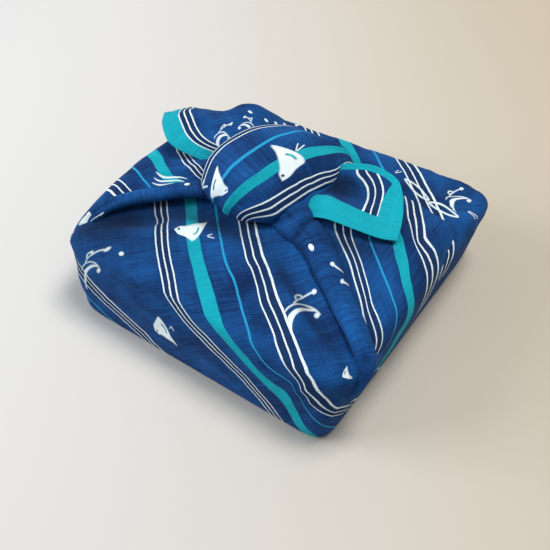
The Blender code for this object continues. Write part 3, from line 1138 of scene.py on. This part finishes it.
@dataclass(kw_only=True)
class Tail(Form):
    """A loose corner of the cloth past the knot. Each row of its table is points across a section.

    The hem row is 0 or -1, the end row that is a hem, and a side hem is side 0 or -1 and how much
    narrower its band shows. The lines count from their start, as far as their end from the hem.
    """

    hem_row: int
    side_hems: tuple[tuple[int, float], ...] = ()
    line_start: float = 0.0
    line_way: float = 1.0
    lines_end: float = 72.0
    band_reach: float = 1.0
    hem_fold: float = 5.0
    hem_height: float = 0.45
    hem_edge: float = 0.8
    even_hem: tuple[float, float] = (1.0, 8.0)
    unevenness: float = 0.35
    wave_length: float = 15.0
    clearance: float = 0.4
    steps: int = 22
    inside: Point = (-20.0, 20.0, -800.0)

    def surface(self) -> tuple[np.ndarray, ...]:
        """The tail's surface.

        The grid is a Catmull-Rom surface through the rows. The print is measured from the hem row
        along the cloth, and the hem is a fold that stands a little proud.

        Returns:
            Its points, and the print's millimetres across, along and from the hem at each.
        """
        grid = smooth_rows(np.array(self.rows, float), self.steps)
        grid = np.swapaxes(smooth_rows(np.swapaxes(grid, 0, 1), self.steps), 0, 1)
        grid = grid[::-1] if self.hem_row else grid
        down, over = run_of(grid), run_of(np.swapaxes(grid, 0, 1)).T
        hem = self.band_reach * down
        for side, narrower in self.side_hems:
            hem = np.minimum(hem, narrower * (over if side == 0 else over[:, -1:] - over))
        lift = self.hem_height * (1 - ease(hem, self.hem_fold - self.hem_edge, self.hem_fold + self.hem_edge))
        uneven = self.unevenness * wander(down, over, self.wave_length, self.seed)
        lift = lift + uneven * ease(hem, *self.even_hem)
        lift = lift + crease_lift(grid, self.creases) + self.clearance
        points = grid + normals_of(grid, False, self.inside) * lift[..., None]
        across = self.line_start + self.line_way * (self.lines_end - np.abs(self.lines_end - down))
        if self.lay:
            across, _ = self.lay.at(*(np.indices(down.shape) / self.steps))
        return points, across, over, hem


LEFT_END = TiedEnd(
    name="left_end_cloth",
    rows=(
        (-87, -80, 2, -87, 80, 2, 1.5, 6), (-94, -80, 22, -90, 80, 22, 3, 8),
        (-103, -77, 40, -94, 78, 40, 3, 9), (-99, -63, 51.5, -92, 72, 50, 5, 9),
        (-87, -45, 54, -80, 64, 52.5, 5.5, 8), (-75, -33, 55, -66, 52, 53.5, 6.5, 8),
        (-64, -21, 55.5, -53, 42, 54.5, 7.5, 9), (-50, -12, 55.5, -40, 34, 55, 7, 10),
        (-30, -8, 55, -22, 30, 55, 5, 11),
    ),
    folds=(
        (4, 8, -0.55, -0.45, 4, 1.3), (3.4, 8, -0.1, -0.05, 5, -1.2), (4.6, 8, 0.25, 0.3, 4, 1.4),
        (4, 8, 0.6, 0.55, 4, -1),
    ),
    lay=Lay(
        across=(
            (131, (0, -1)), (72, (0, 0)), (12, (0, 1)), (59.4, (3.3, -0.72)),
            (41.65, (3.25, -0.44), (3.83, -0.62), (4.42, -0.78)),
            (25.8, (3.17, -0.15), (4.08, -0.41), (5, -0.66)),
            (6.35, (5.08, -0.25), (5.92, -0.48), (6.42, -0.64)), (0, (8, -1)), (-57, (4, 1)),
            (-120, (8, 1)),
        ),
        along=(
            (-47, (0, -1)), (47, (0, 1)), (-117, (8, -1)), (-23, (8, 1)),
        ),
    ),
    painted_shade=(
        # painted shade behind the pleat, by the knot, and in the two gathers
        (-96, -56, 52, -48, -2, 60, 4.5, 0.5), (-56, -6, 60, -50, 34, 60, 7, 0.6),
        (-84, -22, 57, -54, 2, 60, 3.5, 0.35), (-80, 34, 56, -50, 24, 59, 4, 0.35),
    ),
    motifs=(
        Motif(Figure.RIPPLES, 28.1, -82.8, -113, 15.5, 0.65, -34, mirrored=True),
        Motif(Figure.DROP, 85.5, -71.5, 26, 5),
    ),
    cut=Cut(0.145, 0.125, Hold.GATHERED),
    seed=11,
    creases=(
        # pulls toward the knot, in front, behind and at the brow
        (-84, -34, 57, -52, -6, 61, 3, 1), (-80, -22, 58, -50, 2, 61, 3, -1.2),
        (-84, 20, 58, -50, 14, 61, 4, 1), (-78, 34, 56, -46, 22, 59, 4, -1.1),
        (-104, -20, 40, -88, -14, 57, 4, 0.8),
    ),
)
RIGHT_END = TiedEnd(
    name="right_end_cloth",
    rows=(
        (83, -76, 2, 85, 74, 2, 1.5, 6), (86, -76, 22, 88, 72, 22, 3, 7),
        (89, -70, 40, 89, 62, 40, 4, 7), (88, -60, 48.5, 87, 54, 48.5, 3.5, 7),
        (76, -49, 51.5, 78, 53, 50.5, 3, 6), (58, -34, 52, 60, 56, 51.5, 2.5, 6),
        (40, -17, 52.5, 38, 58, 52.5, 1.5, 6.5), (22, -3, 53, 16, 54, 53, 1.5, 8),
        (4, 6, 54, -4, 40, 54, 5, 9),
    ),
    folds=(
        (5, 8, -0.3, -0.2, 4, 1), (4.5, 8, 0.2, 0.2, 5, -1), (5.5, 8, 0.6, 0.55, 4, 1),
    ),
    lay=Lay(
        across=(
            (64.1, (6.33, -0.51), (5.25, -0.62), (4.25, -0.76)),
            (84, (7.6, -0.35), (7.6, 0), (8, -0.3)), (54.6, (5, -0.46), (4, -0.64), (2.67, -0.75)),
            (41.65, (5.25, -0.12), (4.75, -0.22), (3.67, -0.36), (3.08, -0.44)),
            (29.6, (4.17, -0.03), (3.25, -0.22), (2.25, -0.41)),
            (22, (4.42, 0.28), (3.75, 0.08), (2.92, -0.15), (2.08, -0.25)),
            (10.1, (4.75, 0.62), (4.17, 0.39), (2.83, 0.12)),
            (6.4, (4.5, 0.66), (4, 0.41), (3.58, 0.36)),
            (2.6, (4.08, 0.62), (3.67, 0.51), (3.25, 0.46)),
        ),
        along=(
            (0, (0, -1), (0, 1)), (49, (3, -1), (3, 1)), (141, (8, -1), (8, 1)),
        ),
    ),
    painted_shade=(
        # painted shade beside the strip, under the tail, by the knot, and along the tail's side
        (18, 4, 55, 90, -58, 49, 6.5, 0.6), (22, -7, 54, 68, 5, 52, 8, 0.66),
        (14, 30, 58, 10, 60, 55, 7, 0.5), (66, 18, 53, 48, 54, 53, 5, 0.4),
    ),
    cut=Cut(0.15, 0.115, Hold.GATHERED),
    seed=12,
)
PLEAT_STRIP = ClothRoll(
    name="pleat_strip_cloth",
    rows=(
        (88, -74, 34, 4.5, 3.5), (92.5, -69, 45.5, 5, 4), (91.5, -61.5, 53.5, 5.6, 4.2),
        (81, -52, 56.5, 6.2, 4.2), (64, -38, 57.2, 7.2, 4.2), (46, -23.5, 58, 8.4, 4.5),
        (30, -10.5, 59.5, 10, 5), (16, -4, 61, 12.5, 6), (3, 2, 62, 14, 7), (-9, 8, 62, 13, 7),
    ),
    folds=((6, 9, -0.3, -0.5, 1.6, -1.2),),
    lay=Lay(
        across=(
            (78, (0, -1), (9, -1)), (102, (0, 1), (9, 1)),
        ),
        along=(
            (0, (0, -1), (0, 1)), (120, (9, -1), (9, 1)),
        ),
    ),
    painted_shade=(
        # painted shade along the knot's crease in three, by the knot, and on the right side
        (18.4, -17.2, 56.2, 19, -9.8, 60, 1.8, 0.6), (19, -9.8, 60, 19.7, -2.4, 60.7, 1.8, 0.6),
        (19.7, -2.4, 60.7, 20, 7.2, 57.6, 1.8, 0.6), (4, -12, 60, 14, 10, 60, 3.5, 0.5),
        (34, -4, 56, 88, -52, 52, 3.2, 0.45),
    ),
    motifs=(
        Motif(Figure.DOT, 82.6, 76.7, size=1.9),
        Motif(Figure.DROP, 96.2, 65.6, -28, 5.1, 1.45, -37),
        Motif(Figure.DROP, 98.8, 58.9, -19, 4.8, 1.4, -45),
    ),
    cut=Cut(0.13, 0.03, Hold.FOLDED),
    inside=(20, 0, -300),
    seed=13,
    creases=(
        # the knot's crease in three, its lip, the knot's side, and a pull down the strip
        (18.4, -17.2, 56.2, 19, -9.8, 60, 2, -1.7), (19, -9.8, 60, 19.7, -2.4, 60.7, 2, -1.7),
        (19.7, -2.4, 60.7, 20, 7.2, 57.6, 2, -1.7), (13, -13, 59, 14.5, 2, 61, 4, 1.6),
        (6, -14, 58, -2, -10, 60, 3, -1.2), (30, -14, 59, 66, -42, 57, 2.6, 0.9),
        (36, -10, 58, 78, -46, 56, 2.2, -0.9),
    ),
)
LEFT_PLEAT = ClothRoll(
    name="left_pleat_cloth",
    rows=(
        (-98, -74, 38, 4, 3), (-99.5, -65, 48.8, 4.5, 3.2), (-95, -53, 55.8, 5, 3.4),
        (-85, -41, 58.8, 5.5, 3.5), (-74, -30, 60.4, 6, 3.6), (-63, -19, 61.6, 6.8, 4),
        (-50, -9, 62.5, 8, 5), (-36, -2, 62, 9, 6),
    ),
    folds=((2, 7, 0.3, 0.2, 1.4, -0.9),),
    lay=Lay(
        across=((78, (0, -1), (7, -1)), (98, (0, 1), (7, 1))),
        along=(
            (0, (0, -1), (0, 1)), (90, (7, -1), (7, 1)),
        ),
    ),
    # painted shade by the knot
    painted_shade=((-54, -16, 60, -44, -2, 62, 5, 0.55),),
    motifs=(
        Motif(Figure.DOT, 88, 67.5),
        Motif(Figure.DROP, 79, 13.5, 22, 7, 0.9, 20, mirrored=True),
        Motif(Figure.DROP, 96.5, 19, 233, 5.5),
    ),
    cut=Cut(0.11, 0.022, Hold.FOLDED),
    inside=(-60, -30, -300),
    seed=14,
    creases=(
        (-92, -50, 57, -56, -14, 62, 2.4, 0.9), (-88, -42, 58, -50, -6, 61, 2.2, -0.9),
    ),
)
KNOT_BAND = TiedEnd(
    name="knot_band_cloth",
    rows=(
        (-50.5, -6.5, 53.5, -16, -12.5, 50, 1, 3), (-52.5, -11, 62.5, -10.4, -17.6, 57.2, 4, 5),
        (-58, 4.5, 68, 1.3, -12.5, 60.3, 9, 10), (-58.5, 23.5, 68.8, 4, -1.4, 60.3, 9, 12),
        (-52.5, 42.5, 68.8, 6.5, 11.2, 60.3, 8.7, 12), (-38, 57, 67, 10, 25.3, 60, 7.4, 10),
        (-20, 65, 62, 13, 39.2, 59.7, 6, 8), (-5.5, 67.5, 58, 12.5, 53, 57, 4, 6),
        (1.5, 70, 51, 12.5, 60.5, 51, 2, 5),
    ),
    folds=(
        (0.5, 2.4, 0.25, 0.2, 2.6, 0.8), (0.5, 2.6, -0.1, 0, 3, -0.8), (5.2, 7.5, 0.1, 0.1, 2.6, -1),
        (5, 7.5, -0.3, -0.3, 2.8, 0.9),
    ),
    lay=Lay(
        across=(
            (64.1, (2.2, -1.04), (4.2, -0.923), (5.2, -0.981)),
            (59.4, (2.1, -0.923), (3.83, -0.826), (5, -0.884)),
            (54.7, (1.2, -0.806), (2.58, -0.787), (3.83, -0.71), (4.8, -0.768)),
            (41.65, (1.58, -0.226), (2.5, -0.197), (3.67, -0.197), (4.83, -0.39), (5.6, -0.613)),
            (29.6, (1.25, 0.2), (2.33, 0.258), (3.58, 0.258), (5.08, 0.132), (6.58, -0.11)),
            (22, (1.08, 0.403), (2.17, 0.432), (3.42, 0.461), (4.75, 0.432), (5.83, 0.355), (7.25, 0.0449)),
            (10.1, (0.9, 0.645), (2.08, 0.751), (3.75, 0.79), (5.08, 0.78), (6.17, 0.819)),
            (6.4, (0.92, 0.809), (2.08, 0.867), (3.83, 0.887), (5.75, 0.916)),
            (2.4, (1.67, 0.954), (3.92, 0.974), (5.75, 1)),
            (-4, (1.67, 1.1), (3.92, 1.12), (5.75, 1.14)),
        ),
        along=(
            (0, (0, -1), (0, 1)), (22, (2, -1), (2, 1)), (50, (4, -1), (4, 1)), (84, (6, -1), (6, 1)),
            (104, (8, -1), (8, 1)),
        ),
    ),
    motifs=(
        Motif(Figure.BIRD, 26.3, 46.7, 30, 12.5, 1.45, -10, mirrored=True),
        Motif(Figure.SPRIG, 31.3, 62.4, 55, 4.3, 0.79),
        Motif(Figure.BIRD, 41.4, 16.2, 11, 7.5, 0.97, 2),
        Motif(Figure.SPRIG, 54.6, 11.2, 143, 3.4, 1.5, -35),
    ),
    cut=Cut(0.11, 0.08, Hold.GATHERED),
    seed=15,
    creases=(
        (-50, -4, 66, -34, 8, 74, 2.6, -1.5), (-44, -10, 66, -26, 4, 74, 2.6, 1),
        (-26, -14, 64, -14, 4, 71, 2.6, -1.5), (-16, -15, 62, -6, 2, 69, 2.4, 1.1),
        (8, 22, 63, -10, 30, 73, 3, -1.6), (10, 32, 62, -8, 40, 71, 3, 1.2),
        (11, 44, 60, -4, 48, 68, 2.6, -1.3), (-40, 54, 66, -26, 40, 74, 3, -1.2),
    ),
    columns=150,
)
LEFT_TAIL = Tail(
    name="left_tail_cloth",
    rows=(
        ((-57, 5, 63), (-82.5, -1, 70.5), (-98, 8, 73.5), (-107, 20, 73)),
        ((-55, 8, 64), (-70, 13, 73), (-90, 25, 77), (-97, 36, 72)),
        ((-48, 16, 65), (-60, 25, 74), (-74, 38, 75), (-78, 50, 68)),
        ((-38, 26, 64), (-50, 38, 74), (-62, 53, 78), (-62, 65, 68.5)),
        ((-22, 34, 60), (-32, 46, 68), (-40, 58, 70), (-38, 70, 60)),
        ((-8, 40, 55), (-12, 50, 60), (-18, 58, 61), (-16, 66, 55)),
    ),
    hem_row=0,
    creases=((-95, 18, 76, -50, 40, 74, 5, 0.9),),
    # painted shade along a line of the tail
    painted_shade=((-56, 8, 66, -26, 40, 66, 6, 0.55),),
    motifs=(
        Motif(Figure.WAVE, -4.1, 13.7, -162, 3.9, 3.18, 30, mirrored=True),
        Motif(Figure.WAVE, -25.2, 19.4, -3, 5.1, 1.71, 45),
        Motif(Figure.DOT, -34.5, 32.2),
        Motif(Figure.DOT, -44.7, 28.4),
    ),
    cut=Cut(0.085, 0.055, Hold.DRAPED),
    seed=16,
    line_start=23.1,
    line_way=-1,
)
RIGHT_TAIL = Tail(
    name="right_tail_cloth",
    rows=(
        ((8, 4, 53), (6, 16, 59), (4, 30, 57), (2, 46, 60)),
        ((26, 4, 61.2), (22, 16, 65), (18, 32, 59.5), (17, 51, 66)),
        ((44, 5, 62), (41, 17, 63), (34, 34, 59.5), (31, 57, 66)),
        ((60, 8, 60.5), (56, 20, 61), (50, 34, 60), (47, 55, 64)),
        ((69, 13, 59), (66.5, 22, 60), (62, 34, 60.5), (56, 45, 61)),
    ),
    hem_row=-1,
    side_hems=((0, 0.7), (-1, 2.7)),
    creases=(
        (12, 36, 58, 34, 32, 60, 7, -1.6), (16, 44, 62, 40, 40, 62, 3, 0.9),
        (14, 26, 60, 38, 24, 61, 3, -0.8),
    ),
    # painted shade in the tail's hollow and next to it
    painted_shade=(
        (4, 31, 59, 32, 35, 59, 9, 0.85), (8, 40, 60, 26, 44, 61, 5, 0.4),
    ),
    cut=Cut(0.062, 0.048, Hold.DRAPED),
    seed=17,
    band_reach=0.82,
    lay=Lay(
        across=(
            (44.5, (0, 0), (0, 1), (0, 2), (0, 3)),
            (54.7, (1.82, 2.82), (1.59, 2.68), (1.36, 2.5), (1.23, 2.23), (1.18, 1.86)),
            (59.4, (2.18, 2.73), (1.86, 2.59), (1.64, 2.41), (1.5, 2.14), (1.5, 1.68)),
            (64.1, (2.59, 2.73), (2.23, 2.55), (1.91, 2.36), (1.73, 2.09), (1.77, 1.5)),
            (54.7, (1.5, 0.6)), (64.1, (2.1, 0.6)), (48, (1.2, 0.3)),
            (95, (4, 0), (4, 1), (4, 2), (4, 3)),
        ),
        along=((0, (0, 0), (4, 0)), (40, (0, 3), (4, 3))),
        scale=(1, 1),
    ),
)


@dataclass(frozen=True)
class Studio:
    """A plain pale floor, soft light from the left, and the camera."""

    azimuth: float = 34.6
    elevation: float = 48.2
    roll: float = -0.6
    target: Point = (-4.3, -3.1, 0.0)
    distance: float = 461.0
    sensor: float = 36.0
    focal_share: float = 700.0 / 550.0
    floor_half: float = 3.0
    floor_drop: float = 0.0002
    # place along the floor's change of tint and of painted light falloff, and its colour there
    floor_tint_and_falloff: tuple = ((0.25, (0.64, 0.635, 0.63, 1.0)), (0.80, (0.49, 0.43, 0.335, 1.0)))
    surroundings: Colour = (0.98, 0.97, 0.95, 1.0)
    surroundings_strength: float = 0.36
    # name, place and side in metres, power in watts, colour
    lamps: tuple = (
        ("skylight", (0.26, 0.50, 1.7), 0.7, 25.0, (1.0, 0.98, 0.95)),
        ("window", (-1.7, -1.0, 1.0), 1.2, 36.0, (0.86, 0.93, 1.0)),
    )

    def aim(self, name: str, data: bpy.types.ID, target: Vector, offset: Vector) -> bpy.types.Object:
        """Links a camera or a lamp that stands off from a target and looks back at it.

        Args:
            name: The object's name.
            data: The camera or the lamp.
            target: Where it looks, in metres.
            offset: Where it stands from there, in metres.

        Returns:
            The object.
        """
        made = bpy.data.objects.new(name, data)
        bpy.context.collection.objects.link(made)
        turned = offset.to_track_quat("Z", "Y").to_matrix().to_4x4()
        made.matrix_world = Matrix.Translation(target + offset) @ turned
        return made

    def camera(self) -> None:
        """Places the camera by azimuth and elevation, then rolls it about its own axis."""
        azimuth, elevation, roll = (math.radians(v) for v in (self.azimuth, self.elevation, self.roll))
        level = math.cos(elevation)
        away = Vector((math.sin(azimuth) * level, -math.cos(azimuth) * level, math.sin(elevation)))
        lens = bpy.data.cameras.new("camera")
        lens.sensor_width = self.sensor
        lens.lens = self.sensor * self.focal_share
        lens.clip_start = 0.01
        camera = self.aim("camera", lens, Vector(self.target) * MM, away * self.distance * MM)
        camera.matrix_world = camera.matrix_world @ Matrix.Rotation(roll, 4, "Z")
        bpy.context.scene.camera = camera

    def floor(self) -> None:
        """A wide square of pale matt board, that warms softly from one side to the other and grows darker
        there: a warmer tint with painted light falloff away from the window.
        """
        mesh = bpy.data.meshes.new("floor")
        ways = ((-1, -1), (1, -1), (1, 1), (-1, 1))
        corners = [(x * self.floor_half, y * self.floor_half, -self.floor_drop) for x, y in ways]
        mesh.from_pydata(corners, [], [(0, 1, 2, 3)])
        board = bpy.data.objects.new("floor", mesh)
        bpy.context.collection.objects.link(board)
        material, shader = shaded("pale_board")
        tree = material.node_tree
        places = add_node(tree, "TexCoord", {}).outputs["Object"]
        turn = (0.0, 0.0, math.radians(-self.azimuth))
        turned = add_node(tree, "Mapping", {"Vector": places, "Rotation": turn, "Location": (0.5, 0.0, 0.0)})
        slope = add_node(tree, "TexGradient", {"Vector": turned.outputs["Vector"]})
        # The tint warms and, as painted light falloff, darkens away from the window.
        tint_and_falloff = add_node(tree, "ValToRGB", {"Fac": slope.outputs["Fac"]})
        tint_and_falloff.color_ramp.interpolation = "EASE"
        for stop, (place, tint) in zip(tint_and_falloff.color_ramp.elements, self.floor_tint_and_falloff):
            stop.position, stop.color = place, tint
        wire(shader, {"Base Color": tint_and_falloff.outputs["Color"], "Roughness": 0.7, "Specular IOR Level": 0.2})
        mesh.materials.append(material)

    def light(self, name: str, place: Point, size: float, power: float, colour: Point) -> None:
        """A square soft light facing the parcel.

        Args:
            name: The light's name.
            place: Where it stands, in metres.
            size: Its side, in metres.
            power: Its power, in watts.
            colour: Its colour.
        """
        data = bpy.data.lights.new(name, "AREA")
        data.size, data.energy, data.color = size, power, colour
        self.aim(name, data, Vector(), Vector(place))

    def build(self) -> None:
        """Sets up the floor, the lights, the pale surroundings and the camera."""
        scene = bpy.context.scene
        scene.view_settings.view_transform = "Standard"
        world = bpy.data.worlds.new("surroundings")
        world.use_nodes = True
        background = world.node_tree.nodes["Background"]
        background.inputs["Color"].default_value = self.surroundings
        background.inputs["Strength"].default_value = self.surroundings_strength
        scene.world = world
        self.floor()
        for lamp in self.lamps:
            self.light(*lamp)
        self.camera()


def main() -> None:
    """Builds the wrap's sheets in order, then the studio, and reports each."""
    logging.basicConfig(level=logging.INFO, format="%(message)s")
    finish = PrintedCotton()
    face = finish.material("printed_cotton", finish.printed_colour)
    cloth = Cloth(face, finish.material("cotton_reverse", finish.plain_colour))
    parts = (LEFT_END, RIGHT_END, LEFT_PLEAT, PLEAT_STRIP, LEFT_TAIL, RIGHT_TAIL, KNOT_BAND)
    for part in (ParcelCloth(), *parts):
        part.build(cloth)
    Studio().build()


if __name__ == "__main__":
    main()
